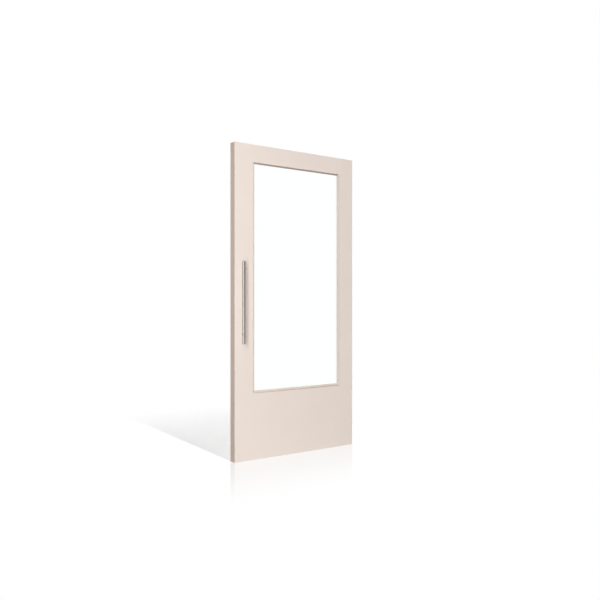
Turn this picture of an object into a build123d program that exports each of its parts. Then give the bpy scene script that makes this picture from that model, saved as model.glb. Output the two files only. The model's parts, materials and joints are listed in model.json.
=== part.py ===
from build123d import *
import os
from math import ceil

# Glazed door leaf with a vertical pull bar and three butt hinges.
# Millimetres. X runs from the lock edge to the hinge edge, the front face looks to -Y, +Z is up.
# The origin is the middle of the leaf's bottom edge.

# Leaf
LEAF_WIDTH = 1030.0
LEAF_HEIGHT = 2115.0
LEAF_THICKNESS = 54.0
SKIN_THICKNESS = 4.0
LIPPING_THICKNESS = 10.0
LIPPING_ARRIS = 1.5
BOTTOM_RAIL_HEIGHT = 120.0
MIDDLE_RAIL_HEIGHT = 120.0

# Face widths round the glass, from the leaf's edges to the outside of the front beads
LOCK_MARGIN = 143.0
HINGE_MARGIN = 130.0
TOP_MARGIN = 115.0
BOTTOM_MARGIN = 450.0

# Front beads: a raised moulding with a tongue in the leaf's opening
BEAD_RAISE = 4.0
BEAD_FLAT = 5.0
BEAD_SPLAY = 9.0
BEAD_LAP = 5.0
BEAD_NOSE = 0.6
GLASS_RECESS = 10.0

# Glass and what it is bedded on
GLASS_THICKNESS = 8.0
GLASS_ARRIS = 1.0
TAPE_THICKNESS = 3.0
TAPE_WIDTH = 12.0
TAPE_SET_BACK = 1.5
REBATE_WIDTH = 30.0
EDGE_BLOCK_THICKNESS = 5.0
SETTING_BLOCK_LENGTH = 100.0
LOCATING_BLOCK_LENGTH = 60.0
BLOCK_WIDTH = 10.0

# Back beads: splayed, screwed into the rebate
BACK_BEAD_TOE = 3.0
BACK_BEAD_NOSE = 3.0
BACK_BEAD_EASE = 1.0
BEAD_SCREW_RADIUS = 2.0
BEAD_SCREW_HEAD_RADIUS = 3.9
BEAD_SCREW_LENGTH = 38.0
BEAD_SCREW_FROM_FACE = 6.0
BEAD_SCREW_END = 75.0
BEAD_SCREW_PITCH = 320.0

# Dowels between rails and stiles
DOWEL_RADIUS = 6.0
DOWEL_LENGTH = 100.0
DOWEL_CHAMFER = 1.5
DOWEL_EDGE = 26.0

# Pull bar
BAR_RADIUS = 12.5
BAR_WALL = 1.5
BAR_LENGTH = 545.0
BAR_CENTRE_HEIGHT = 1056.0
BAR_PROJECTION = 50.0
BAR_FROM_EDGE = 41.0
CAP_THICKNESS = 3.0
CAP_EDGE = 1.2
CAP_SPIGOT = 8.0
POST_FROM_END = 47.5
POST_RADIUS = 8.0
POST_LEG = 18.0
POST_BEND_RADIUS = 14.0
POST_WASHER = 1.0
BOLT_RADIUS = 4.0
BOLT_BITE = 14.0
BOLT_HEAD_RADIUS = 10.0
BOLT_HEAD_HEIGHT = 4.0
BOLT_CROWN_TOP = 5.5
BOLT_CROWN_MIDDLE = 8.6
BOLT_CROWN_RISE = 2.9
BOLT_TIP_ROOM = 2.0
BOLT_SOCKET_RADIUS = 2.9
BOLT_SOCKET_DEPTH = 2.4
BOLT_CLEARANCE = 0.5

# Butt hinges
HINGE_HEIGHT = 102.0
WING_THICKNESS = 3.0
WING_WIDTH = 38.0
WING_CORNER = 8.0
WING_GAP = 3.0
KNUCKLE_RADIUS = 7.0
KNUCKLE_STAND_OFF = 0.5
PIN_RADIUS = 4.0
PIN_CROWN_RADIUS = 6.0
PIN_CROWN_HEIGHT = 2.5
WASHER_THICKNESS = 2.0
KNUCKLE_GAP = 0.4
RUNNING_CLEARANCE = 0.05
FIXED_CLEARANCE = 0.02
HINGE_FROM_TOP = 200.0
HINGE_FROM_BOTTOM = 250.0
WING_SCREW_RADIUS = 2.2
WING_HOLE_RADIUS = 2.6
WING_SCREW_HEAD_RADIUS = 4.2
WING_SCREW_LENGTH = 40.0
WING_SCREW_ROW_FROM_EDGE = 8.0
WING_SCREW_ROWS = 15.0
WING_SCREW_SPACING = 72.0

# General fits
CUT_OVERRUN = 1.0
FIT_GAP = 0.2
PILOT_GAP = 0.05
SINK_GAP = 0.1
SCREW_RIM = 0.3

# Places worked out from the sizes above
LOCK_EDGE = -LEAF_WIDTH / 2
HINGE_EDGE = LEAF_WIDTH / 2
FRONT = -LEAF_THICKNESS / 2
BACK = LEAF_THICKNESS / 2
CORE_FRONT = FRONT + SKIN_THICKNESS
CORE_BACK = BACK - SKIN_THICKNESS
LIGHT_LEFT = LOCK_EDGE + LOCK_MARGIN
LIGHT_RIGHT = HINGE_EDGE - HINGE_MARGIN
LIGHT_BOTTOM = BOTTOM_MARGIN
LIGHT_TOP = LEAF_HEIGHT - TOP_MARGIN
BEAD_WIDTH = BEAD_FLAT + BEAD_SPLAY
GLASS_FRONT = FRONT + GLASS_RECESS
GLASS_BACK = GLASS_FRONT + GLASS_THICKNESS
SHOULDER = GLASS_FRONT - TAPE_THICKNESS
BACK_BEAD_DEPTH = BACK - GLASS_BACK - TAPE_THICKNESS
PIN_X = HINGE_EDGE + WING_GAP / 2
PIN_Y = BACK + KNUCKLE_RADIUS + KNUCKLE_STAND_OFF


def block(x0, x1, y0, y1, z0, z1):
    """A box between two corners."""
    middle = Pos((x0 + x1) / 2, (y0 + y1) / 2, (z0 + z1) / 2)
    return middle * Box(x1 - x0, y1 - y0, z1 - z0)


def light(inset, y0, y1):
    """A box as large as the bead outline, drawn in by inset on all four sides."""
    return block(
        LIGHT_LEFT + inset,
        LIGHT_RIGHT - inset,
        y0,
        y1,
        LIGHT_BOTTOM + inset,
        LIGHT_TOP - inset,
    )


def rod(start, direction, radius, length):
    """A cylinder from a point along a direction."""
    return extrude(Plane(origin=start, z_dir=direction) * Circle(radius), length)


def turned(start, direction, outline):
    """A solid turned about a line: outline is (radius, distance along the line) points."""
    profile = make_face(Polyline(*outline, close=True))
    seat = Plane(origin=start, z_dir=direction)
    return seat * revolve(Plane.XZ * profile, Axis.Z)


def countersunk_screw(head_at, direction, shank, head, length):
    """A wood screw without its thread; head_at is the middle of the head's flat top."""
    sink = head - shank
    outline = [
        (0, 0),
        (head, 0),
        (head, SCREW_RIM),
        (shank, SCREW_RIM + sink),
        (shank, length - 2 * shank),
        (0, length),
    ]
    return turned(head_at, direction, outline)


def spread(first, last, pitch):
    """Even places from first to last, no further apart than pitch."""
    gaps = max(1, ceil((last - first) / pitch))
    return [first + (last - first) * i / gaps for i in range(gaps + 1)]


def joined(pieces):
    """Separate solids of one kind in one group."""
    return Compound(children=list(pieces))


# The four sides of the light: name, direction towards its middle, a point on the bead outline
# and the half length of that side
MID_X = (LIGHT_LEFT + LIGHT_RIGHT) / 2
MID_Z = (LIGHT_BOTTOM + LIGHT_TOP) / 2
HALF_X = (LIGHT_RIGHT - LIGHT_LEFT) / 2
HALF_Z = (LIGHT_TOP - LIGHT_BOTTOM) / 2
SIDES = {
    "lock": (Vector(1, 0, 0), Vector(LIGHT_LEFT, 0, MID_Z), HALF_Z),
    "hinge": (Vector(-1, 0, 0), Vector(LIGHT_RIGHT, 0, MID_Z), HALF_Z),
    "top": (Vector(0, 0, -1), Vector(MID_X, 0, LIGHT_TOP), HALF_X),
    "bottom": (Vector(0, 0, 1), Vector(MID_X, 0, LIGHT_BOTTOM), HALF_X),
}


def mitred(section, side, outward, widest, narrowest):
    """A bead on one side of the light: the section run along it, with a mitre at both ends."""
    inward, middle, half = SIDES[side]
    origin = middle + outward * (LEAF_THICKNESS / 2)
    run = Plane(origin=origin, x_dir=inward, z_dir=inward.cross(outward))
    bar = extrude(run * section, half - widest, both=True)
    mitre = Polyline(
        (widest, half - widest),
        (narrowest, half - narrowest),
        (narrowest, narrowest - half),
        (widest, widest - half),
        close=True,
    )
    flat = Plane(origin=middle, x_dir=inward, z_dir=Vector(0, 1, 0))
    return bar & extrude(flat * make_face(mitre), LEAF_THICKNESS, both=True)


def front_bead_section():
    """Raised nose on the face, a splay to the glass and a tongue in the opening."""
    back = -(GLASS_RECESS - TAPE_THICKNESS)
    outline = Polyline(
        (0, 0),
        (0, BEAD_RAISE),
        (BEAD_FLAT, BEAD_RAISE),
        (BEAD_WIDTH, BEAD_RAISE - BEAD_SPLAY),
        (BEAD_WIDTH, back),
        (BEAD_LAP + FIT_GAP, back),
        (BEAD_LAP + FIT_GAP, 0),
        close=True,
    )
    section = make_face(outline)
    nose = section.vertices().sort_by_distance((0, BEAD_RAISE))[0]
    return fillet(nose, BEAD_NOSE)


def back_bead_section():
    """A wide splay from the toe on the glass to the flush back face."""
    wall = FIT_GAP - REBATE_WIDTH
    crest = BACK_BEAD_TOE - (BACK_BEAD_DEPTH - BACK_BEAD_NOSE)
    outline = Polyline(
        (wall, -BACK_BEAD_DEPTH),
        (BACK_BEAD_TOE, -BACK_BEAD_DEPTH),
        (BACK_BEAD_TOE, BACK_BEAD_NOSE - BACK_BEAD_DEPTH),
        (crest, 0),
        (wall, 0),
        close=True,
    )
    section = make_face(outline)
    nose = (BACK_BEAD_TOE, BACK_BEAD_NOSE - BACK_BEAD_DEPTH)
    return fillet(section.vertices().sort_by_distance(nose)[0], BACK_BEAD_EASE)


def bead_screw_places():
    """Head middle and direction of every back bead screw, square to the splay."""
    depth = BACK - BEAD_SCREW_FROM_FACE
    crest = BACK_BEAD_TOE - (BACK_BEAD_DEPTH - BACK_BEAD_NOSE)
    inset = crest + BEAD_SCREW_FROM_FACE
    for inward, middle, half in SIDES.values():
        along = inward.cross(Vector(0, 1, 0))
        drive = (inward * -1 + Vector(0, -1, 0)).normalized()
        for place in spread(BEAD_SCREW_END - half, half - BEAD_SCREW_END, BEAD_SCREW_PITCH):
            head = middle + inward * inset + along * place + Vector(0, depth, 0)
            yield head, drive


def bead_screws():
    return [
        countersunk_screw(head, drive, BEAD_SCREW_RADIUS, BEAD_SCREW_HEAD_RADIUS, BEAD_SCREW_LENGTH)
        for head, drive in bead_screw_places()
    ]


def bead_screw_holes():
    """The same screws a little larger, with the sink open to the splay."""
    holes = []
    for head, drive in bead_screw_places():
        shank = BEAD_SCREW_RADIUS + PILOT_GAP
        sink = BEAD_SCREW_HEAD_RADIUS + PILOT_GAP
        outline = [
            (0, -CUT_OVERRUN),
            (sink, -CUT_OVERRUN),
            (sink, SCREW_RIM + PILOT_GAP),
            (shank, SCREW_RIM + PILOT_GAP + sink - shank),
            (shank, BEAD_SCREW_LENGTH - 2 * BEAD_SCREW_RADIUS + PILOT_GAP),
            (0, BEAD_SCREW_LENGTH + PILOT_GAP * 2),
        ]
        holes.append(turned(head, drive, outline))
    return holes


# Carcass
STILE_LEFT = LOCK_EDGE + LIPPING_THICKNESS
STILE_RIGHT = HINGE_EDGE - LIPPING_THICKNESS
CORE_BOTTOM = LIPPING_THICKNESS
CORE_TOP = LEAF_HEIGHT - LIPPING_THICKNESS
OPENING_LEFT = LIGHT_LEFT + BEAD_LAP
OPENING_RIGHT = LIGHT_RIGHT - BEAD_LAP
OPENING_BOTTOM = LIGHT_BOTTOM + BEAD_LAP
OPENING_TOP = LIGHT_TOP - BEAD_LAP
MIDDLE_RAIL_BOTTOM = OPENING_BOTTOM - MIDDLE_RAIL_HEIGHT
BOTTOM_RAIL_TOP = CORE_BOTTOM + BOTTOM_RAIL_HEIGHT


def dowel_heights():
    """Two dowels in each rail's full-thickness part, DOWEL_EDGE in from its edges."""
    rebate_top = LIGHT_TOP + REBATE_WIDTH
    rebate_bottom = LIGHT_BOTTOM - REBATE_WIDTH
    rails = [
        (CORE_BOTTOM, BOTTOM_RAIL_TOP),
        (MIDDLE_RAIL_BOTTOM, rebate_bottom),
        (rebate_top, CORE_TOP),
    ]
    return [z for low, high in rails for z in (low + DOWEL_EDGE, high - DOWEL_EDGE)]


def dowels():
    """Beech pegs with chamfered ends, half in the stile and half in the rail."""
    half = DOWEL_LENGTH / 2
    slope = DOWEL_RADIUS - DOWEL_CHAMFER
    outline = [
        (0, 0),
        (slope, 0),
        (DOWEL_RADIUS, DOWEL_CHAMFER),
        (DOWEL_RADIUS, DOWEL_LENGTH - DOWEL_CHAMFER),
        (slope, DOWEL_LENGTH),
        (0, DOWEL_LENGTH),
    ]
    return [
        turned((joint - half, 0, z), (1, 0, 0), outline)
        for joint in (OPENING_LEFT, OPENING_RIGHT)
        for z in dowel_heights()
    ]


def dowel_holes():
    reach = DOWEL_LENGTH / 2 + CUT_OVERRUN
    return [
        rod((joint - reach, 0, z), (1, 0, 0), DOWEL_RADIUS + PILOT_GAP, 2 * reach)
        for joint in (OPENING_LEFT, OPENING_RIGHT)
        for z in dowel_heights()
    ]


# Pull bar places
BAR_X = LOCK_EDGE + BAR_FROM_EDGE
BAR_Y = FRONT - BAR_PROJECTION
POST_X = BAR_X + BAR_PROJECTION - POST_LEG
BAR_FOOT = BAR_CENTRE_HEIGHT - BAR_LENGTH / 2
POST_HEIGHTS = [BAR_FOOT + POST_FROM_END, BAR_FOOT + BAR_LENGTH - POST_FROM_END]


def handle_bar():
    """Tube that holds a cap at each end."""
    length = BAR_LENGTH - 2 * CAP_THICKNESS
    ring = Circle(BAR_RADIUS) - Circle(BAR_RADIUS - BAR_WALL)
    low = Plane(origin=(BAR_X, BAR_Y, BAR_FOOT + CAP_THICKNESS))
    return extrude(low * ring, length)


def handle_caps():
    """Crowned plugs, each with a spigot inside the tube."""
    spigot = BAR_RADIUS - BAR_WALL - PILOT_GAP
    outline = [
        (0, -CAP_SPIGOT),
        (spigot, -CAP_SPIGOT),
        (spigot, 0),
        (BAR_RADIUS, 0),
        (BAR_RADIUS, CAP_THICKNESS - CAP_EDGE),
        (BAR_RADIUS - CAP_EDGE, CAP_THICKNESS),
        (0, CAP_THICKNESS),
    ]
    shoulder = BAR_LENGTH / 2 - CAP_THICKNESS
    return [
        turned((BAR_X, BAR_Y, BAR_CENTRE_HEIGHT + way * shoulder), (0, 0, way), outline)
        for way in (-1, 1)
    ]


def handle_post(height):
    """Cranked post: out of the face, then 45 degrees to the bar, coped to the tube."""
    foot = FRONT - POST_WASHER
    path = FilletPolyline(
        (POST_X, foot, height),
        (POST_X, FRONT - POST_LEG, height),
        (BAR_X, BAR_Y, height),
        radius=POST_BEND_RADIUS,
    )
    start = Plane(origin=(POST_X, foot, height), z_dir=(0, -1, 0))
    post = sweep(start * Circle(POST_RADIUS), path=path)
    bar = rod((BAR_X, BAR_Y, BAR_FOOT), (0, 0, 1), BAR_RADIUS + PILOT_GAP, BAR_LENGTH)
    depth = BOLT_BITE + BOLT_TIP_ROOM
    bore = rod((POST_X, FRONT, height), (0, -1, 0), BOLT_RADIUS + PILOT_GAP, depth)
    return post - bar - bore


def post_washers():
    ring = Circle(POST_RADIUS) - Circle(BOLT_RADIUS + PILOT_GAP)
    return [
        extrude(Plane(origin=(POST_X, FRONT, z), z_dir=(0, -1, 0)) * ring, POST_WASHER)
        for z in POST_HEIGHTS
    ]


def handle_bolt(height):
    """Through bolt from the back, with a crowned head and a six-sided socket."""
    reach = LEAF_THICKNESS + BOLT_BITE
    top = (BOLT_CROWN_TOP, -BOLT_HEAD_HEIGHT)
    outline = Polyline((0, reach), (0, -BOLT_HEAD_HEIGHT), top)
    crown = ThreePointArc(top, (BOLT_CROWN_MIDDLE, -BOLT_CROWN_RISE), (BOLT_HEAD_RADIUS, 0))
    shank = Polyline((BOLT_HEAD_RADIUS, 0), (BOLT_RADIUS, 0), (BOLT_RADIUS, reach), (0, reach))
    profile = make_face([*outline.edges(), crown, *shank.edges()])
    seat = Plane(origin=(POST_X, BACK, height), z_dir=(0, -1, 0))
    bolt = seat * revolve(Plane.XZ * profile, Axis.Z)
    socket = RegularPolygon(BOLT_SOCKET_RADIUS, 6)
    mouth = Plane(origin=(POST_X, BACK + BOLT_HEAD_HEIGHT, height), z_dir=(0, -1, 0))
    return bolt - extrude(mouth * socket, BOLT_SOCKET_DEPTH)


def bolt_holes():
    length = LEAF_THICKNESS + 2 * CUT_OVERRUN
    return [
        rod((POST_X, FRONT - CUT_OVERRUN, z), (0, 1, 0), BOLT_RADIUS + BOLT_CLEARANCE, length)
        for z in POST_HEIGHTS
    ]


# Hinges
HINGE_HEIGHTS = {
    "lower": HINGE_FROM_BOTTOM,
    "middle": (HINGE_FROM_BOTTOM + LEAF_HEIGHT - HINGE_FROM_TOP) / 2,
    "upper": LEAF_HEIGHT - HINGE_FROM_TOP,
}
BEARING_GAP = WASHER_THICKNESS + FIT_GAP
WING_SINK_RADIUS = WING_SCREW_HEAD_RADIUS + SCREW_RIM + SINK_GAP
KNUCKLES = 5
KNUCKLE_LENGTH = (HINGE_HEIGHT - 2 * BEARING_GAP - 2 * KNUCKLE_GAP) / KNUCKLES
WING_EDGE = PIN_Y - WING_WIDTH
PLATE_END = PIN_Y - KNUCKLE_RADIUS - KNUCKLE_STAND_OFF
SCREW_ROWS = [WING_EDGE + WING_SCREW_ROW_FROM_EDGE + row * WING_SCREW_ROWS for row in (0, 1)]


def knuckle_spans():
    """Low and high ends of the five knuckles from the bottom up, from the hinge's middle."""
    low = -HINGE_HEIGHT / 2
    spans = []
    for gap in (BEARING_GAP, KNUCKLE_GAP, BEARING_GAP, KNUCKLE_GAP, 0):
        spans.append((low, low + KNUCKLE_LENGTH))
        low += KNUCKLE_LENGTH + gap
    return spans


def wing_outline(grow):
    """The flat plate seen from the edge of the leaf, in Y and Z, with two round corners."""
    width = PLATE_END - WING_EDGE + grow
    sketch = Pos(PLATE_END - width / 2, 0) * Rectangle(width, HINGE_HEIGHT + 2 * grow)
    return fillet(sketch.vertices().group_by(Axis.X)[0], WING_CORNER + grow)


def wing(middle, side, own, bore):
    """A hinge wing: a plate beside the pin, and the knuckles it carries.

    side is -1 on the leaf and 1 on the frame, own are the knuckles of this wing.
    """
    inner = PIN_X + side * WING_GAP / 2
    face = Plane(origin=(inner, 0, middle), x_dir=(0, 1, 0), z_dir=(1, 0, 0))
    body = extrude(face * wing_outline(0), side * WING_THICKNESS)
    x0, x1 = sorted((inner, inner + side * WING_THICKNESS))
    for low, high in (knuckle_spans()[i] for i in own):
        barrel = rod((PIN_X, PIN_Y, middle + low), (0, 0, 1), KNUCKLE_RADIUS, high - low)
        neck = block(x0, x1, PLATE_END - CUT_OVERRUN, PIN_Y, middle + low, middle + high)
        body += barrel + neck
    body -= rod((PIN_X, PIN_Y, middle - HINGE_HEIGHT), (0, 0, 1), bore, 2 * HINGE_HEIGHT)
    for place in wing_screw_places(middle):
        start = (inner, *place)
        sink = WING_SINK_RADIUS - WING_HOLE_RADIUS
        outline = [
            (0, -CUT_OVERRUN),
            (WING_SINK_RADIUS, -CUT_OVERRUN),
            (WING_SINK_RADIUS, 0),
            (WING_HOLE_RADIUS, sink),
            (WING_HOLE_RADIUS, WING_THICKNESS + CUT_OVERRUN),
            (0, WING_THICKNESS + CUT_OVERRUN),
        ]
        body -= turned(start, (side, 0, 0), outline)
    return body


def wing_screw_places(middle):
    """The Y and Z of four screws in a rectangle."""
    half = WING_SCREW_SPACING / 2
    return [(y, middle + dz) for y in SCREW_ROWS for dz in (-half, half)]


def hinge_screws():
    head = HINGE_EDGE - SINK_GAP / 2
    return [
        countersunk_screw(
            (head, y, z), (-1, 0, 0), WING_SCREW_RADIUS, WING_SCREW_HEAD_RADIUS, WING_SCREW_LENGTH
        )
        for middle in HINGE_HEIGHTS.values()
        for y, z in wing_screw_places(middle)
    ]


def hinge_screw_holes():
    return [
        rod((HINGE_EDGE, y, z), (-1, 0, 0), WING_SCREW_RADIUS + PILOT_GAP, WING_SCREW_LENGTH)
        for middle in HINGE_HEIGHTS.values()
        for y, z in wing_screw_places(middle)
    ]


def hinge_pin(middle):
    """Pin with a crown at each end, fixed in the frame wing."""
    half = HINGE_HEIGHT / 2
    crown = half + PIN_CROWN_HEIGHT
    ease = PIN_CROWN_HEIGHT / 2
    outline = [
        (0, -crown),
        (PIN_CROWN_RADIUS - ease, -crown),
        (PIN_CROWN_RADIUS, ease - crown),
        (PIN_CROWN_RADIUS, -half),
        (PIN_RADIUS, -half),
        (PIN_RADIUS, half),
        (PIN_CROWN_RADIUS, half),
        (PIN_CROWN_RADIUS, crown - ease),
        (PIN_CROWN_RADIUS - ease, crown),
        (0, crown),
    ]
    return turned((PIN_X, PIN_Y, middle), (0, 0, 1), outline)


def hinge_washers():
    """Bearing rings on top of the frame knuckles that carry the leaf."""
    ring = Circle(KNUCKLE_RADIUS) - Circle(PIN_RADIUS + RUNNING_CLEARANCE)
    tops = [knuckle_spans()[i][1] for i in (0, 2)]
    return [
        extrude(Plane(origin=(PIN_X, PIN_Y, middle + top)) * ring, WASHER_THICKNESS)
        for middle in HINGE_HEIGHTS.values()
        for top in tops
    ]


def mortises():
    """Pockets in the hinge edge, open to the back, one for each leaf wing."""
    pockets = []
    for middle in HINGE_HEIGHTS.values():
        face = Plane(origin=(HINGE_EDGE, 0, middle), x_dir=(0, 1, 0), z_dir=(1, 0, 0))
        pockets.append(extrude(face * wing_outline(FIT_GAP), -WING_THICKNESS, both=True))
    return pockets


def carcass():
    """Stiles, rails and the board below the glass, with every pocket and hole they carry."""
    rebate = light(-REBATE_WIDTH, SHOULDER, CORE_BACK + CUT_OVERRUN)
    cuts = dowel_holes() + bead_screw_holes() + bolt_holes() + hinge_screw_holes() + [rebate]
    blanks = {
        "lock_stile": (STILE_LEFT, OPENING_LEFT, CORE_BOTTOM, CORE_TOP),
        "hinge_stile": (OPENING_RIGHT, STILE_RIGHT, CORE_BOTTOM, CORE_TOP),
        "top_rail": (OPENING_LEFT, OPENING_RIGHT, OPENING_TOP, CORE_TOP),
        "middle_rail": (OPENING_LEFT, OPENING_RIGHT, MIDDLE_RAIL_BOTTOM, OPENING_BOTTOM),
        "bottom_rail": (OPENING_LEFT, OPENING_RIGHT, CORE_BOTTOM, BOTTOM_RAIL_TOP),
        "lower_core": (OPENING_LEFT, OPENING_RIGHT, BOTTOM_RAIL_TOP, MIDDLE_RAIL_BOTTOM),
    }
    return {
        name: block(x0, x1, CORE_FRONT, CORE_BACK, z0, z1) - cuts
        for name, (x0, x1, z0, z1) in blanks.items()
    }


def skins():
    """Thin boards over both faces, with the light opening cut out of each."""
    front = block(STILE_LEFT, STILE_RIGHT, FRONT, CORE_FRONT, CORE_BOTTOM, CORE_TOP)
    back = block(STILE_LEFT, STILE_RIGHT, CORE_BACK, BACK, CORE_BOTTOM, CORE_TOP)
    front_light = light(BEAD_LAP, FRONT - CUT_OVERRUN, CORE_FRONT + CUT_OVERRUN)
    back_light = light(-REBATE_WIDTH, CORE_BACK - CUT_OVERRUN, BACK + CUT_OVERRUN)
    return {
        "front_skin": front - front_light - bolt_holes(),
        "back_skin": back - back_light - bolt_holes(),
    }


def lippings():
    """Hardwood strips on all four edges; the long ones carry the eased arrises."""
    long_strips = {
        "lock_lipping": block(LOCK_EDGE, STILE_LEFT, FRONT, BACK, 0, LEAF_HEIGHT),
        "hinge_lipping": block(STILE_RIGHT, HINGE_EDGE, FRONT, BACK, 0, LEAF_HEIGHT),
    }
    outer = {"lock_lipping": 0, "hinge_lipping": -1}
    made = {}
    for name, strip in long_strips.items():
        arrises = strip.edges().filter_by(Axis.Z).group_by(Axis.X)[outer[name]]
        made[name] = fillet(arrises, LIPPING_ARRIS)
    made["hinge_lipping"] = made["hinge_lipping"] - mortises() - hinge_screw_holes()
    made["top_lipping"] = block(STILE_LEFT, STILE_RIGHT, FRONT, BACK, CORE_TOP, LEAF_HEIGHT)
    made["bottom_lipping"] = block(STILE_LEFT, STILE_RIGHT, FRONT, BACK, 0, CORE_BOTTOM)
    return made


def glazing():
    """The pane, the tapes it is bedded on, and the blocks round its edge."""
    edge = EDGE_BLOCK_THICKNESS - REBATE_WIDTH
    pane = light(edge, GLASS_FRONT, GLASS_BACK)
    pane = chamfer(pane.edges().filter_by(Axis.Y, reverse=True), GLASS_ARRIS)
    front_in = BEAD_WIDTH - TAPE_SET_BACK
    back_in = BACK_BEAD_TOE - TAPE_SET_BACK
    tapes = {
        "front_glazing_tape": (front_in, SHOULDER, GLASS_FRONT),
        "back_glazing_tape": (back_in, GLASS_BACK, GLASS_BACK + TAPE_THICKNESS),
    }
    made = {"glass_pane": pane}
    for name, (inset, y0, y1) in tapes.items():
        hollow = light(inset, y0 - CUT_OVERRUN, y1 + CUT_OVERRUN)
        made[name] = light(inset - TAPE_WIDTH, y0, y1) - hollow

    middle = (GLASS_FRONT + GLASS_BACK) / 2
    y0, y1 = middle - BLOCK_WIDTH / 2, middle + BLOCK_WIDTH / 2

    def blocks(side, length):
        """Two blocks on one side, at its quarter points."""
        inward, point, half = SIDES[side]
        along = inward.cross(Vector(0, 1, 0))
        seat = point - inward * (REBATE_WIDTH - EDGE_BLOCK_THICKNESS / 2)
        size = Vector(
            *(EDGE_BLOCK_THICKNESS * abs(i) + length * abs(a) for i, a in zip(inward, along))
        )
        for way in (-1, 1):
            place = seat + along * (way * half / 2)
            yield block(
                place.X - size.X / 2,
                place.X + size.X / 2,
                y0,
                y1,
                place.Z - size.Z / 2,
                place.Z + size.Z / 2,
            )

    made["setting_blocks"] = joined(blocks("bottom", SETTING_BLOCK_LENGTH))
    others = [b for side in ("lock", "hinge", "top") for b in blocks(side, LOCATING_BLOCK_LENGTH)]
    made["locating_blocks"] = joined(others)
    return made


def beads():
    """Four mitred beads on each face."""
    front, back = Vector(0, -1, 0), Vector(0, 1, 0)
    front_section, back_section = front_bead_section(), back_bead_section()
    holes = bead_screw_holes()
    made = {}
    for side in SIDES:
        made[f"front_bead_{side}"] = mitred(front_section, side, front, 0, BEAD_WIDTH)
        back_bead = mitred(back_section, side, back, FIT_GAP - REBATE_WIDTH, BACK_BEAD_TOE)
        made[f"back_bead_{side}"] = back_bead - holes
    made["back_bead_screws"] = joined(bead_screws())
    return made


def handle():
    return {
        "handle_bar": handle_bar(),
        "handle_caps": joined(handle_caps()),
        "lower_handle_post": handle_post(POST_HEIGHTS[0]),
        "upper_handle_post": handle_post(POST_HEIGHTS[1]),
        "post_washers": joined(post_washers()),
        "handle_bolts": joined(handle_bolt(z) for z in POST_HEIGHTS),
    }


def hinges():
    """Three hinges: leaf wing with two knuckles, frame wing with three, pin and rings."""
    made = {}
    for name, middle in HINGE_HEIGHTS.items():
        made[f"{name}_leaf_wing"] = wing(middle, -1, (1, 3), PIN_RADIUS + RUNNING_CLEARANCE)
        made[f"{name}_frame_wing"] = wing(middle, 1, (0, 2, 4), PIN_RADIUS + FIXED_CLEARANCE)
        made[f"{name}_hinge_pin"] = hinge_pin(middle)
    made["hinge_washers"] = joined(hinge_washers())
    made["hinge_screws"] = joined(hinge_screws())
    return made


pieces = {
    **carcass(),
    "rail_dowels": joined(dowels()),
    **skins(),
    **lippings(),
    **glazing(),
    **beads(),
    **handle(),
    **hinges(),
}

os.makedirs("parts", exist_ok=True)
for node, shape in pieces.items():
    export_step(shape, f"parts/{node}.step")
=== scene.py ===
import json
import math

import bmesh
import bpy
from mathutils import Matrix, Vector


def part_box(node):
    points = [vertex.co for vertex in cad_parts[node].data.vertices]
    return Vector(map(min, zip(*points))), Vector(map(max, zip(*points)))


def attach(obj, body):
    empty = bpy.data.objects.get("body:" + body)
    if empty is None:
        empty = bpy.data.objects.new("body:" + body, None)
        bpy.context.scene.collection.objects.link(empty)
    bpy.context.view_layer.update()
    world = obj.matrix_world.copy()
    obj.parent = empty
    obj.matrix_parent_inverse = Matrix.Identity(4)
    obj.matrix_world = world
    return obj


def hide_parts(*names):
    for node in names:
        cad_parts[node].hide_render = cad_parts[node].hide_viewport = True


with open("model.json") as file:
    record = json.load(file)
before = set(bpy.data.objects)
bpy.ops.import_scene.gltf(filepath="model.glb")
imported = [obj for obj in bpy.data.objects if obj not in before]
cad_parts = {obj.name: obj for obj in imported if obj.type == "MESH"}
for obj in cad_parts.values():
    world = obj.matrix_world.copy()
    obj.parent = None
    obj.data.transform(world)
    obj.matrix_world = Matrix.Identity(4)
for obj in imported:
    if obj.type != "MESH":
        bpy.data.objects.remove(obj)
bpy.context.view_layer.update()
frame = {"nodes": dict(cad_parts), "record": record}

nodes = frame["nodes"]

# A glazed door leaf in pale satin lacquer with a steel pull bar. The CAD pieces keep their shape
# and get a finish; only the screws are made again, with recesses in their heads

# The photograph's view: 600 pixels a side, level camera, upright lines stay upright
PHOTO_SIDE = 600
FOCAL_PIXELS = 712.0
HORIZON_ROW = 302.75
SENSOR_MM = 36.0
EYE = Vector((-3.012, -4.014, 1.054))
VIEW_DIRECTION = Vector((0.606, 0.7955, 0.0))
CLIP_END = 100.0

# Colours as they look, red, green and blue from 0 to 255
LACQUER = (233, 220, 211)
LACQUER_SHADE = (230, 217, 208)
EDGE_LACQUER = (235, 216, 202)
BEAD_LACQUER = (229, 216, 206)
BEAD_LACQUER_SHADE = (226, 212, 202)
# Painted shade for the splays of the front beads, paler for the hinge-side bead, whose splay faces
# the light
SPLAY_PAINTED_SHADE = (204, 190, 178)
LIT_SPLAY_PAINTED_SHADE = (218, 205, 194)
GLASS = (254, 255, 255)
STEEL = (172, 165, 157)
STEEL_DARK = (156, 149, 141)
HINGE_STEEL = (190, 188, 184)
HINGE_STEEL_DARK = (166, 163, 158)
TAPE = (128, 123, 117)
TAPE_PORE = (92, 88, 83)
BLOCK_GREY = (96, 101, 106)
NYLON = (214, 211, 204)
PINE = (214, 184, 138)
PINE_GRAIN = (176, 136, 88)
BEECH = (205, 164, 120)
BEECH_GRAIN = (172, 126, 84)
CHIP = (196, 164, 118)
CHIP_DARK = (138, 104, 66)

WHITE = (1.0, 1.0, 1.0, 1.0)
WHOLE = (0.0, 1.0)
NOISE_SPAN = (0.3, 0.7)     # nearly all of a noise's values lie in here

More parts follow.
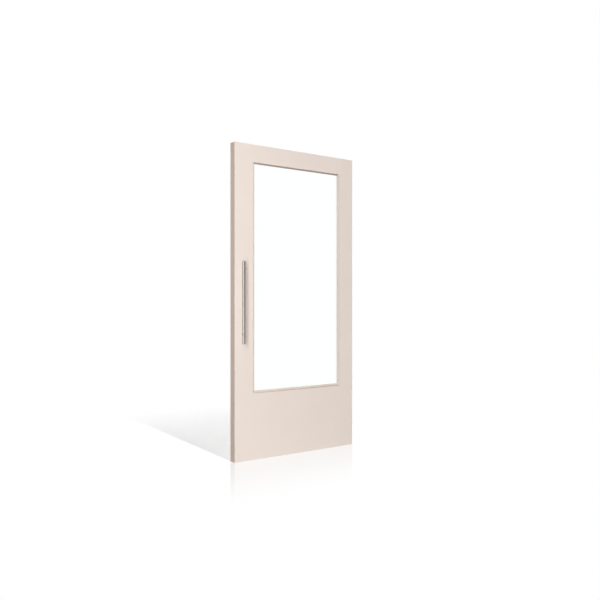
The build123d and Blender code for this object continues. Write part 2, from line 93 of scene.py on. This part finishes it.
# How far a normal points along Y: a splay's lies below this span, a face's above it
FACING_SPAN = (0.78, 0.96)

# Sockets of a Mix node that mixes colours
MIX_FIRST, MIX_SECOND, MIX_RESULT = 6, 7, 2


def colour(rgb):
    """Linear colour for a shader from 0 to 255 values."""
    out = []
    for value in rgb:
        c = value / 255
        out.append(c / 12.92 if c <= 0.04045 else ((c + 0.055) / 1.055) ** 2.4)
    return (*out, 1.0)


class Graph:
    """A node tree being built."""

    def __init__(self, tree):
        self.tree = tree

    def add(self, kind, **settings):
        """A new node; each setting names one of its properties or else one of its sockets."""
        node = self.tree.nodes.new(kind)
        for key, value in settings.items():
            if hasattr(node, key):
                setattr(node, key, value)
            else:
                node.inputs[key].default_value = value
        return node

    def join(self, output, target):
        self.tree.links.new(output, target)

    def feed(self, node, *outputs):
        """Joins outputs to a node's sockets in their order; returns the node's first output."""
        for output, target in zip(outputs, node.inputs):
            self.join(output, target)
        return node.outputs[0]

    def maths(self, operation, *values):
        """The result of one operation on one or two values."""
        return self.feed(self.add("ShaderNodeMath", operation=operation), *values)

    def mixed(self, factor, without, within):
        """One shader where the factor is 0, another where it is 1."""
        return self.feed(self.add("ShaderNodeMixShader"), factor, without, within)

    def ranged(self, value, source, target, smooth=False):
        """Carries a value from one span over to another and holds it there."""
        form = "SMOOTHSTEP" if smooth else "LINEAR"
        node = self.add("ShaderNodeMapRange", interpolation_type=form)
        sockets = ("From Min", "From Max", "To Min", "To Max")
        for key, number in zip(sockets, (*source, *target)):
            node.inputs[key].default_value = number
        self.join(value, node.inputs["Value"])
        return node.outputs["Result"]

    def along_y(self, vector):
        """The second of a vector's three numbers."""
        apart = self.add("ShaderNodeSeparateXYZ")
        self.feed(apart, vector)
        return apart.outputs["Y"]


class Recipe(Graph):
    """A material being built: keeps its node tree and its Principled shader."""

    def __init__(self, name):
        self.material = bpy.data.materials.new(name)
        self.material.use_nodes = True
        super().__init__(self.material.node_tree)
        self.shader = self.tree.nodes["Principled BSDF"]
        self.place = self.add("ShaderNodeTexCoord").outputs["Object"]

    def stretched(self, scale):
        """Object coordinates multiplied along X, Y and Z."""
        mapping = self.add("ShaderNodeMapping", vector_type="POINT", Scale=scale)
        self.join(self.place, mapping.inputs["Vector"])
        return mapping.outputs["Vector"]

    def noise(self, scale=1.0, detail=2.0, roughness=0.5, stretch=None, distortion=0.0):
        node = self.add("ShaderNodeTexNoise", Scale=scale, Detail=detail)
        node.inputs["Roughness"].default_value = roughness
        node.inputs["Distortion"].default_value = distortion
        self.join(self.stretched(stretch) if stretch else self.place, node.inputs["Vector"])
        return node.outputs["Fac"]

    def cells(self, scale):
        """Cells scattered at random: the distance from their middles and a colour for each."""
        node = self.add("ShaderNodeTexVoronoi", feature="F1", Scale=scale)
        self.join(self.place, node.inputs["Vector"])
        return node.outputs["Distance"], node.outputs["Color"]

    def blend(self, factor, first, second):
        """Goes from the first tone, or colour output, to the second tone."""
        mix = self.add("ShaderNodeMix", data_type="RGBA")
        self.join(factor, mix.inputs["Factor"])
        if isinstance(first, tuple):
            mix.inputs[MIX_FIRST].default_value = colour(first)
        else:
            self.join(first, mix.inputs[MIX_FIRST])
        mix.inputs[MIX_SECOND].default_value = colour(second)
        return mix.outputs[MIX_RESULT]

    def turned_away(self):
        """0 on the faces of the leaf, which look along Y, and 1 on its edges and on splays."""
        normal = self.add("ShaderNodeTexCoord").outputs["Normal"]
        facing = self.maths("ABSOLUTE", self.along_y(normal))
        return self.ranged(facing, FACING_SPAN, (1.0, 0.0))

    def bump(self, height, distance, strength=1.0, under=None):
        """A normal that follows a height, laid over the relief under it."""
        node = self.add("ShaderNodeBump", Strength=strength, Distance=distance)
        self.join(height, node.inputs["Height"])
        if under:
            self.join(under, node.inputs["Normal"])
        return node.outputs["Normal"]

    def set(self, **values):
        """Numbers on the shader's own sockets, underscores standing for spaces."""
        for key, value in values.items():
            self.shader.inputs[key.replace("_", " ")].default_value = value

    def drive(self, **outputs):
        """Outputs joined to the shader's sockets, underscores standing for spaces."""
        for key, output in outputs.items():
            self.join(output, self.shader.inputs[key.replace("_", " ")])


# Finishes: scales per metre, heights of relief in metres, roughness from 0 to 1
CLOUD_SCALE = 2.2
CLOUD_SPAN = (0.35, 0.65)
PEEL_SCALE = 620.0
PEEL_HEIGHT = 0.00006
SWELL_SCALE = 46.0
SWELL_HEIGHT = 0.0002
SATIN_SCALE = 160.0
SATIN_ROUGHNESS = (0.40, 0.50)
SATIN_IOR = 1.47
SATIN_SPECULAR = 0.38


def satin_lacquer(name, tone, shade, turned=None):
    """Sprayed satin lacquer: faint cloudiness in the coat and a very fine orange peel.

    turned is the tone of the surfaces that slope or turn away from the faces of the leaf: the
    lippings' own warmer edge tone, and painted shade on the splays of the front beads.
    """
    r = Recipe(name)
    cloud = r.ranged(r.noise(CLOUD_SCALE, detail=3.0), CLOUD_SPAN, WHOLE)
    peel = r.noise(PEEL_SCALE, detail=1.0)
    swell = r.noise(SWELL_SCALE, detail=1.5)
    coat = r.blend(cloud, tone, shade)
    # On the front beads this paints shade onto the splays; on the lippings it gives the edges their
    # own warmer tone
    if turned:
        coat = r.blend(r.turned_away(), coat, turned)
    r.drive(
        Base_Color=coat,
        Roughness=r.ranged(r.noise(SATIN_SCALE), NOISE_SPAN, SATIN_ROUGHNESS),
        Normal=r.bump(peel, PEEL_HEIGHT, under=r.bump(swell, SWELL_HEIGHT)),
    )
    r.set(IOR=SATIN_IOR, Specular_IOR_Level=SATIN_SPECULAR)
    return r.material


ACROSS_BRUSHING = 2600.0
ALONG_BAR_BRUSHING = 30.0
ALONG_HINGE_BRUSHING = 40.0
BRUSHING_HEIGHT = 0.00003
BRUSHING_STRENGTH = 0.6
STEEL_PATCH_SCALE = 9.0
STEEL_ROUGHNESS = (0.34, 0.46)
BAR_ROUGHNESS = (0.16, 0.24)


def brushed_steel(name, light, dark, stretch, roughness=STEEL_ROUGHNESS):
    """Stainless steel with fine brushing: the stretch is small along the lines."""
    r = Recipe(name)
    lines = r.noise(detail=4.0, roughness=0.7, stretch=stretch)
    patches = r.noise(STEEL_PATCH_SCALE)
    r.drive(
        Base_Color=r.blend(r.ranged(lines, NOISE_SPAN, WHOLE), light, dark),
        Roughness=r.ranged(patches, NOISE_SPAN, roughness),
        Normal=r.bump(lines, BRUSHING_HEIGHT, strength=BRUSHING_STRENGTH),
    )
    r.set(Metallic=1.0)
    return r.material


RIPPLE_SCALE = 3.0
RIPPLE_HEIGHT = 0.00002
GLASS_IOR = 1.5


def clear_glass():
    """Clear float glass, with hardly any colour and a very slow ripple."""
    r = Recipe("clear_glass")
    ripple = r.noise(RIPPLE_SCALE, detail=1.0)
    r.drive(Normal=r.bump(ripple, RIPPLE_HEIGHT))
    r.set(Base_Color=colour(GLASS), Roughness=0.0, IOR=GLASS_IOR, Transmission_Weight=1.0)
    return r.material


PORE_SCALE = 1500.0
PORE_SPAN = (0.1, 0.6)
PORE_HEIGHT = 0.0002
FOAM_ROUGHNESS = 0.85


def foam_tape():
    """Foam tape with fine open pores."""
    r = Recipe("foam_tape")
    distance, _ = r.cells(PORE_SCALE)
    pore = r.ranged(distance, PORE_SPAN, WHOLE)
    r.drive(Base_Color=r.blend(pore, TAPE_PORE, TAPE), Normal=r.bump(distance, PORE_HEIGHT))
    r.set(Roughness=FOAM_ROUGHNESS)
    return r.material


BLOCK_GRAIN_SCALE = 420.0
NYLON_GRAIN_SCALE = 700.0
PLASTIC_LIFT = 9
PLASTIC_ROUGHNESS = (0.45, 0.6)
PLASTIC_HEIGHT = 0.0001


def moulded_plastic(name, tone, scale):
    """Plastic with the fine grain of its mould."""
    r = Recipe(name)
    grain = r.noise(scale, detail=3.0)
    paler = tuple(min(255, c + PLASTIC_LIFT) for c in tone)
    r.drive(
        Base_Color=r.blend(grain, tone, paler),
        Roughness=r.ranged(grain, NOISE_SPAN, PLASTIC_ROUGHNESS),
        Normal=r.bump(grain, PLASTIC_HEIGHT),
    )
    return r.material


ALONG_X, ALONG_Z = 0, 2
RINGS_ACROSS, RINGS_ALONG = 38.0, 1.6
RING_SPAN = (0.38, 0.62)
RING_WAVER = 0.8
FIBRE_ACROSS, FIBRE_ALONG = 900.0, 30.0
FIBRE_HEIGHT = 0.0001
TIMBER_ROUGHNESS = 0.62


def grain_stretch(across, along, axis):
    """Scales along X, Y and Z for a grain that runs along one of them."""
    stretch = [across, across, across]
    stretch[axis] = along
    return stretch


def planed_timber(name, pale, grain_tone, axis):
    """Straight-grained wood with its grain along an axis."""
    r = Recipe(name)
    rings = r.noise(
        detail=5.0, roughness=0.6, distortion=RING_WAVER,
        stretch=grain_stretch(RINGS_ACROSS, RINGS_ALONG, axis),
    )
    fibre = r.noise(stretch=grain_stretch(FIBRE_ACROSS, FIBRE_ALONG, axis))
    r.drive(
        Base_Color=r.blend(r.ranged(rings, RING_SPAN, WHOLE), pale, grain_tone),
        Normal=r.bump(fibre, FIBRE_HEIGHT),
    )
    r.set(Roughness=TIMBER_ROUGHNESS)
    return r.material


CHIP_SCALE = 240.0
CHIP_HEIGHT = 0.0004
BOARD_ROUGHNESS = 0.8


def particle_board():
    """Pressed chips, each with a tone of its own."""
    r = Recipe("particle_board")
    distance, tone = r.cells(CHIP_SCALE)
    r.drive(Base_Color=r.blend(tone, CHIP, CHIP_DARK), Normal=r.bump(distance, CHIP_HEIGHT))
    r.set(Roughness=BOARD_ROUGHNESS)
    return r.material


def finishes():
    """One material for each of the record's slots."""
    # The lines run round the bar, level across the hinge wings, and nowhere on the bead screws
    fine = ACROSS_BRUSHING
    bar_stretch = (ALONG_BAR_BRUSHING, ALONG_BAR_BRUSHING, fine)
    wing_stretch = (fine, ALONG_HINGE_BRUSHING, fine)
    head_stretch = (ALONG_HINGE_BRUSHING, fine, fine)
    return {
        "lacquered_board": satin_lacquer("satin_lacquer", LACQUER, LACQUER_SHADE),
        "lacquered_hardwood": satin_lacquer("bead_lacquer", BEAD_LACQUER, BEAD_LACQUER_SHADE),
        "clear_glass": clear_glass(),
        "glazing_tape": foam_tape(),
        "glazing_block": moulded_plastic("packer_plastic", BLOCK_GREY, BLOCK_GRAIN_SCALE),
        "post_nylon": moulded_plastic("nylon", NYLON, NYLON_GRAIN_SCALE),
        "bar_steel": brushed_steel("bar_steel", STEEL, STEEL_DARK, bar_stretch, BAR_ROUGHNESS),
        "hinge_steel": brushed_steel("hinge_steel", HINGE_STEEL, HINGE_STEEL_DARK, wing_stretch),
        "hinge_screw_steel": brushed_steel(
            "hinge_screw_steel", HINGE_STEEL, STEEL_DARK, head_stretch
        ),
        "bead_screw_steel": brushed_steel(
            "bead_screw_steel", HINGE_STEEL, STEEL_DARK, (fine, fine, fine)
        ),
        "dowel_beech": planed_timber("beech", BEECH, BEECH_GRAIN, ALONG_X),
        "core_board": particle_board(),
        "carcass_timber": planed_timber("pine_upright", PINE, PINE_GRAIN, ALONG_Z),
    }


def dress_cad_nodes(made):
    """Gives every CAD node the finish of its slot, or one that suits its place in the door."""
    lying_timber = planed_timber("pine_lying", PINE, PINE_GRAIN, ALONG_X)
    edge = satin_lacquer("edge_lacquer", LACQUER, LACQUER_SHADE, EDGE_LACQUER)
    bead_tones = (BEAD_LACQUER, BEAD_LACQUER_SHADE)
    # Painted shade: the splays of the front beads get a darker tone than their faces
    front_bead = satin_lacquer("front_bead_lacquer_with_painted_shade", *bead_tones, SPLAY_PAINTED_SHADE)
    lit_bead = satin_lacquer("lit_bead_lacquer", *bead_tones, LIT_SPLAY_PAINTED_SHADE)
    for part in frame["record"]["subparts"]:
        name = part["node"]
        finish = made[part["material_slot"]]
        if name.endswith("_rail"):
            finish = lying_timber
        elif name.endswith("_lipping"):
            finish = edge
        elif name == "front_bead_hinge":
            # Its splay faces the light, so the painted shade on it is paler than on the other front
            # beads
            finish = lit_bead
        elif name.startswith("front_bead_"):
            finish = front_bead
        nodes[name].data.materials.clear()
        nodes[name].data.materials.append(finish)


# Screws in metres. The heads in the back beads lie this far outside the edge of the light and
# this far behind the middle of the leaf, and the last of a row this far from its corner
BEAD_HEAD_OUT = 0.021
BEAD_HEAD_DEPTH = 0.021
BEAD_SCREW_END = 0.075
BEAD_SCREW_PITCH = 0.320
BEAD_SCREW = {"shank": 0.0020, "head": 0.0039, "length": 0.038}
# The heads in the hinge wings: how far sunk, their rows, and how far above and below the middle
HINGE_HEAD_SUNK = 0.00005
HINGE_SCREW_ROWS = (0.0045, 0.0195)
HINGE_SCREW_REACH = 0.036
HINGE_SCREW = {"shank": 0.0022, "head": 0.0042, "length": 0.040}
# A screw's shape: the recess as shares of the head's radius, the tip as shares of the shank's
SCREW_SEGMENTS = 32
HEAD_RIM = 0.0003
RECESS_ARM = 0.62
RECESS_WIDTH = 0.17
RECESS_DEPTH = 0.0016
RECESS_TAPER = 0.45
TIP_LENGTH = 2.0
TIP_RADIUS = 0.05
SCREW_TURN = math.radians(37)
SHARP_ANGLE = math.radians(30)


def screw_shape(shank, head, length):
    """A countersunk wood screw pointing down -Z, its head at the origin with a cross recess."""
    screw = bmesh.new()
    bmesh.ops.create_circle(screw, segments=SCREW_SEGMENTS, radius=head)
    rim_edges = list(screw.edges)
    arm, half = head * RECESS_ARM, head * RECESS_WIDTH
    corner = [(half, half), (half, arm), (-half, arm)]
    quarters = [Matrix.Rotation(math.radians(90 * i), 2) for i in range(4)]
    outline = [quarter @ Vector(point) for quarter in quarters for point in corner]
    cross = [screw.verts.new((*point, 0.0)) for point in outline]
    cross_edges = [screw.edges.new((cross[i - 1], cross[i])) for i in range(len(cross))]
    bmesh.ops.bridge_loops(screw, edges=rim_edges + cross_edges)

    def pushed(edges, drop, scale):
        """Extrudes a loop downwards, draws it in or out, and returns the new loop."""
        new = bmesh.ops.extrude_edge_only(screw, edges=edges)["geom"]
        verts = [item for item in new if isinstance(item, bmesh.types.BMVert)]
        bmesh.ops.scale(screw, verts=verts, vec=(scale, scale, 1.0))
        bmesh.ops.translate(screw, verts=verts, vec=(0.0, 0.0, -drop))
        return [item for item in new if isinstance(item, bmesh.types.BMEdge) and item.is_boundary]

    tip = TIP_LENGTH * shank
    recess_floor = pushed(cross_edges, RECESS_DEPTH, RECESS_TAPER)
    bmesh.ops.contextual_create(screw, geom=recess_floor)
    loop = pushed(rim_edges, HEAD_RIM, 1.0)
    loop = pushed(loop, head - shank, shank / head)
    loop = pushed(loop, length - head - shank, 1.0)
    loop = pushed(loop, tip, TIP_RADIUS)
    bmesh.ops.contextual_create(screw, geom=loop)
    bmesh.ops.recalc_face_normals(screw, faces=screw.faces)
    return screw


def bead_screw_seats():
    """Head place and driving direction of each screw in the back beads."""
    # The outer sides of the front beads lie on the edges of the light
    left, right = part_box("front_bead_lock")[0].x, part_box("front_bead_hinge")[1].x
    bottom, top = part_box("front_bead_bottom")[0].z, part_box("front_bead_top")[1].z
    middle_x, middle_z = (left + right) / 2, (bottom + top) / 2
    half_x, half_z = (right - left) / 2, (top - bottom) / 2
    sides = [
        ((-1, 0, 0), (left, 0, middle_z), half_z),
        ((1, 0, 0), (right, 0, middle_z), half_z),
        ((0, 0, 1), (middle_x, 0, top), half_x),
        ((0, 0, -1), (middle_x, 0, bottom), half_x),
    ]
    for outward, middle, half in sides:
        outward, middle = Vector(outward), Vector(middle)
        along = outward.cross(Vector((0, 1, 0)))
        end = half - BEAD_SCREW_END
        gaps = math.ceil(2 * end / BEAD_SCREW_PITCH)
        for i in range(gaps + 1):
            place = -end + 2 * end * i / gaps
            seat = middle + outward * BEAD_HEAD_OUT + along * place
            yield seat + Vector((0, BEAD_HEAD_DEPTH, 0)), outward + Vector((0, -1, 0))


def hinge_screw_seats():
    """Head place and driving direction of each screw in the leaf's hinge wings."""
    head_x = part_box("hinge_lipping")[1].x - HINGE_HEAD_SUNK
    for wing in ("lower", "middle", "upper"):
        low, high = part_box(f"{wing}_leaf_wing")
        middle = (low.z + high.z) / 2
        for y in HINGE_SCREW_ROWS:
            for rise in (-HINGE_SCREW_REACH, HINGE_SCREW_REACH):
                yield Vector((head_x, y, middle + rise)), Vector((-1, 0, 0))


def set_screws(name, node, seats, sizes, finish):
    """All the screws of one node, each turned a little differently, with a cross recess."""
    shape = bmesh.new()
    for i, (place, drive) in enumerate(seats):
        screw = screw_shape(**sizes)
        turn = Matrix.Rotation(SCREW_TURN * i, 4, "Z")
        aim = drive.to_track_quat("-Z", "Y").to_matrix().to_4x4()
        move = Matrix.Translation(place) @ aim @ turn
        bmesh.ops.transform(screw, matrix=move, verts=screw.verts)
        one = bpy.data.meshes.new("one_screw")
        screw.to_mesh(one)
        screw.free()
        shape.from_mesh(one)
        bpy.data.meshes.remove(one)
    data = bpy.data.meshes.new(name)
    shape.to_mesh(data)
    shape.free()
    data.shade_smooth()
    data.set_sharp_from_angle(angle=SHARP_ANGLE)
    data.materials.append(finish)
    screws = bpy.data.objects.new(name, data)
    bpy.context.scene.collection.objects.link(screws)
    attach(screws, "leaf")
    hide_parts(node)


def make_screws(made):
    """The screws in the back beads and in the leaf's hinge wings."""
    set_screws(
        "bead_screws", "back_bead_screws", bead_screw_seats(), BEAD_SCREW,
        made["bead_screw_steel"],
    )
    set_screws(
        "wing_screws", "hinge_screws", hinge_screw_seats(), HINGE_SCREW,
        made["hinge_screw_steel"],
    )


def make_camera():
    """The camera of the photograph's view."""
    data = bpy.data.cameras.new("camera")
    data.sensor_width = SENSOR_MM
    data.lens = FOCAL_PIXELS / PHOTO_SIDE * SENSOR_MM
    data.shift_y = (HORIZON_ROW - PHOTO_SIDE / 2) / PHOTO_SIDE
    data.clip_end = CLIP_END
    camera = bpy.data.objects.new("camera", data)
    camera.location = EYE
    camera.rotation_mode = "QUATERNION"
    camera.rotation_quaternion = VIEW_DIRECTION.to_track_quat("-Z", "Y")
    bpy.context.scene.collection.objects.link(camera)
    bpy.context.scene.camera = camera


# Floor, in metres. Over the shade span behind the leaf it fades to plain white, and over the
# sheen's depth on either side of the leaf the mirrored door fades to nothing
FLOOR_RADIUS = 40.0
FLOOR_SEGMENTS = 96
FLOOR_OWN_LIGHT = 0.672
FLOOR_DIFFUSE = 0.58
FLOOR_BOUNCE = 0.35
FAR_WHITE = 1.0
SHADE_SPAN = (0.2, 2.45)
SHEEN = 0.27
SHEEN_DEPTH = 0.95
SHEEN_ROUGHNESS = 0.06


def make_floor():
    """A pale disc that shows white wherever the lamps reach it and keeps the door's shadow."""
    mesh = bmesh.new()
    bmesh.ops.create_circle(mesh, cap_ends=True, segments=FLOOR_SEGMENTS, radius=FLOOR_RADIUS)
    data = bpy.data.meshes.new("floor")
    mesh.to_mesh(data)
    mesh.free()
    floor = bpy.data.objects.new("floor", data)
    bpy.context.scene.collection.objects.link(floor)
    data.materials.append(pale_floor())
    return floor


def pale_floor():
    """Matt floor with a light of its own, a faint mirror near the leaf, and a plain bounce."""
    material = bpy.data.materials.new("pale_floor")
    material.use_nodes = True
    g = Graph(material.node_tree)
    g.tree.nodes.clear()

    def matt(grey):
        return g.add("ShaderNodeBsdfDiffuse", Color=(grey, grey, grey, 1.0)).outputs[0]

    def own_light(strength):
        return g.add("ShaderNodeEmission", Strength=strength).outputs[0]

    # Plain white far behind the leaf and in front of its face, and the shadow's floor between
    behind = g.along_y(g.add("ShaderNodeTexCoord").outputs["Object"])
    front_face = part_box("front_skin")[0].y
    far = g.ranged(behind, SHADE_SPAN, WHOLE, smooth=True)
    in_front = g.ranged(behind, (front_face, 0.0), (1.0, 0.0), smooth=True)
    near = g.feed(g.add("ShaderNodeAddShader"), matt(FLOOR_DIFFUSE), own_light(FLOOR_OWN_LIGHT))
    shaded = g.mixed(g.maths("MAXIMUM", far, in_front), near, own_light(FAR_WHITE))

    away = g.maths("ABSOLUTE", behind)
    sheen = g.add("ShaderNodeBsdfGlossy", Color=WHITE, Roughness=SHEEN_ROUGHNESS).outputs[0]
    sheen_share = g.ranged(away, (0.0, SHEEN_DEPTH), (SHEEN, 0.0), smooth=True)
    seen = g.mixed(sheen_share, shaded, sheen)

    # What is seen, looked at through the glass or mirrored; other rays meet a plain grey
    rays = g.add("ShaderNodeLightPath").outputs
    straight = g.maths("MAXIMUM", rays["Is Camera Ray"], rays["Is Transmission Ray"])
    looked_at = g.maths("MAXIMUM", straight, rays["Is Glossy Ray"])
    surface = g.mixed(looked_at, matt(FLOOR_BOUNCE), seen)
    g.join(surface, g.add("ShaderNodeOutputMaterial").inputs["Surface"])
    return material


# World: the fill for matt surfaces, and the part straight in front of the door that mirrored
# rays find dimmer, as a span of how far they point that way
AMBIENT = 0.07
DIM_SIDE = (0.0, -1.0, 0.0)
DIM_SPAN = (0.79, 0.95)
DIM_LEVEL = 0.62


def make_world():
    """White where it is seen or looked through, nearly so where mirrored, else a soft fill."""
    world = bpy.data.worlds.new("studio")
    bpy.context.scene.world = world
    world.use_nodes = True
    g = Graph(world.node_tree)
    g.tree.nodes.clear()

    def level(value):
        return g.add("ShaderNodeBackground", Color=WHITE, Strength=value)

    toward = g.add("ShaderNodeVectorMath", operation="DOT_PRODUCT")
    toward.inputs[1].default_value = DIM_SIDE
    g.feed(toward, g.add("ShaderNodeTexCoord").outputs["Generated"])
    dimmed = g.ranged(toward.outputs["Value"], DIM_SPAN, (1.0, DIM_LEVEL), smooth=True)
    mirrored = level(1.0)
    g.join(dimmed, mirrored.inputs["Strength"])

    rays = g.add("ShaderNodeLightPath").outputs
    straight = g.maths("MAXIMUM", rays["Is Camera Ray"], rays["Is Transmission Ray"])
    soft = g.mixed(rays["Is Glossy Ray"], level(AMBIENT).outputs[0], mirrored.outputs[0])
    surface = g.mixed(straight, soft, level(1.0).outputs[0])
    g.join(surface, g.add("ShaderNodeOutputWorld").inputs["Surface"])


# Suns. The floor's shadow falls from one and the light on the door from the other
SUN_SPREAD = math.radians(1.5)
SUN_AZIMUTH = -5.9
SUN_DISTANCE = 6.0
FLOOR_SUN_ELEVATION = 40.0
FLOOR_SUN_LEVEL = 0.82
FACE_SUN_ELEVATION = 41.0
FACE_SUN_LEVEL = 0.71

# Soft boxes, as seen from what they are aimed at: degrees, metres and a level
LEFT_BOX = {"azimuth": -43, "elevation": 7, "distance": 3.3, "size": (0.5, 3.2), "level": 0.62}
BACK_BOX = {"azimuth": 165, "elevation": 9, "distance": 5.0, "size": (2.4, 3.0), "level": 0.85}
HINGE_BOX = {"azimuth": 100, "elevation": 16, "distance": 4.0, "size": (1.4, 2.6), "level": 0.34}
TOP_BOX = {"azimuth": 180, "elevation": 86.63, "distance": 3.406, "size": (1.6, 1.6), "level": 0.08}
BAR_BOX = {"azimuth": -78, "elevation": 3, "distance": 2.0, "size": (0.4, 1.8), "level": 0.3}
LEFT_AIM_HEIGHT = 1.15
MIDDLE_HEIGHT = 1.05

BAR_NODES = ("handle_bar", "handle_caps")
HANDLE_NODES = (*BAR_NODES, "lower_handle_post", "upper_handle_post")


def from_door(azimuth, elevation, distance, aim):
    """A place seen from aim: azimuth 0 is straight out of the front, 90 beyond the hinge edge."""
    a, e = math.radians(azimuth), math.radians(elevation)
    way = Vector((math.sin(a) * math.cos(e), -math.cos(a) * math.cos(e), math.sin(e)))
    return aim + way * distance


def hung(name, data, azimuth, elevation, distance, aim):
    """Puts a light in the scene where it is seen from aim, and turns it toward aim."""
    light = bpy.data.objects.new(name, data)
    light.location = from_door(azimuth, elevation, distance, aim)
    light.rotation_mode = "QUATERNION"
    light.rotation_quaternion = (aim - light.location).to_track_quat("-Z", "Y")
    bpy.context.scene.collection.objects.link(light)
    return light


def linked(light, kind, objects, state):
    """Lets only these objects, or all but these, receive a light or block it."""
    chosen = bpy.data.collections.new(f"{light.name}_{kind}")
    for obj in objects:
        chosen.objects.link(obj)
    setattr(light.light_linking, f"{kind}_collection", chosen)
    for item in chosen.collection_objects:
        item.light_linking.link_state = state


def sun(name, elevation, level, receivers, state):
    """Parallel light from the front, on these objects alone or on all but these."""
    data = bpy.data.lights.new(name, "SUN")
    data.energy = level * math.pi
    data.angle = SUN_SPREAD
    light = hung(name, data, SUN_AZIMUTH, elevation, SUN_DISTANCE, Vector((0.0, 0.0, 0.0)))
    linked(light, "receiver", receivers, state)
    return light


def soft_box(name, aim, receivers, state, azimuth, elevation, distance, size, level):
    """A rectangular lamp on these objects alone or on all but these; the pane blocks none of it.

    Level 1 lights what faces it to the colour that is written for it.
    """
    data = bpy.data.lights.new(name, "AREA")
    data.shape = "RECTANGLE"
    data.size, data.size_y = size
    data.energy = level * math.pi**2 * distance**2
    box = hung(name, data, azimuth, elevation, distance, aim)
    box.visible_camera = box.visible_transmission = False
    linked(box, "receiver", receivers, state)
    linked(box, "blocker", [nodes["glass_pane"]], "EXCLUDE")
    return box


def make_lamps(floor):
    """A sun for the floor, a sun and four soft boxes for the door, and a narrow box for its bar."""
    bar = [nodes[name] for name in BAR_NODES]
    sun("floor_sun", FLOOR_SUN_ELEVATION, FLOOR_SUN_LEVEL, [floor], "INCLUDE")
    face_sun = sun("face_sun", FACE_SUN_ELEVATION, FACE_SUN_LEVEL, [floor, *bar], "EXCLUDE")
    # The photograph has the bar's shadow only to its right, which the left box casts
    linked(face_sun, "blocker", [nodes[name] for name in HANDLE_NODES], "EXCLUDE")

    middle = Vector((0.0, 0.0, MIDDLE_HEIGHT))
    lock_edge = Vector((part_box("lock_lipping")[0].x, 0.0, LEFT_AIM_HEIGHT))
    door_boxes = [
        ("left_box", lock_edge, LEFT_BOX),
        ("back_box", middle, BACK_BOX),
        ("hinge_box", middle, HINGE_BOX),
        ("top_box", middle, TOP_BOX),
    ]
    for name, aim, settings in door_boxes:
        # The bar and the hinges don't mirror these, which would clip to white
        soft_box(name, aim, [floor], "EXCLUDE", **settings).visible_glossy = False
    low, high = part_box("handle_bar")
    soft_box("bar_box", (low + high) / 2, bar, "INCLUDE", **BAR_BOX)


bpy.context.scene.view_settings.view_transform = "Standard"
make_camera()
make_world()
make_lamps(make_floor())
made = finishes()
dress_cad_nodes(made)
make_screws(made)
